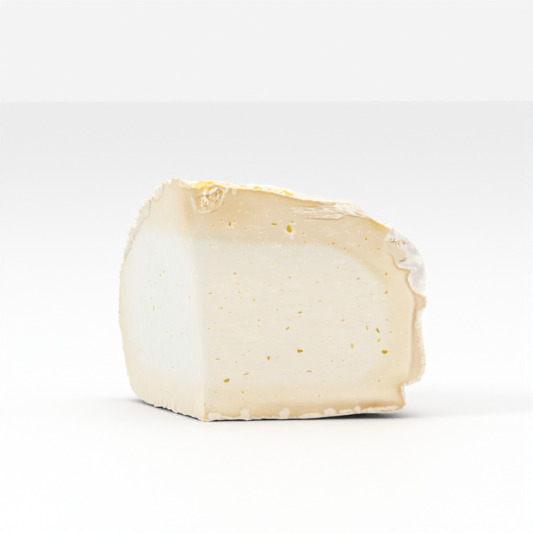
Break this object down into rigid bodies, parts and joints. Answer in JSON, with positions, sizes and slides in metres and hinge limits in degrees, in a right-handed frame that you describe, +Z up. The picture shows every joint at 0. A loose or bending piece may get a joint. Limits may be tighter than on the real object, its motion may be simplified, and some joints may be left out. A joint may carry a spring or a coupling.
{
  "type": "cheese wedge",
  "caption": "Cut portion of a small tall soft-ripened cheese drum, with two flat cut faces meeting at a leaning front edge and a wrinkled bloomy rind behind them.",
  "frame": {"origin": "middle of the footprint's box, on the table", "axes": "+X along the right-hand cut face from the front edge out to the rind, +Y back into the cheese, +Z up"},
  "size_m": [0.0799, 0.0627, 0.066],
  "materials": {
    "ripened_cheese": "moist ivory paste with a chalky pale core and small eyes, in a matte white bloomy rind"
  },
  "bodies": {
    "root": {"cheese_wedge": "ripened_cheese"}
  },
  "joints": []
}
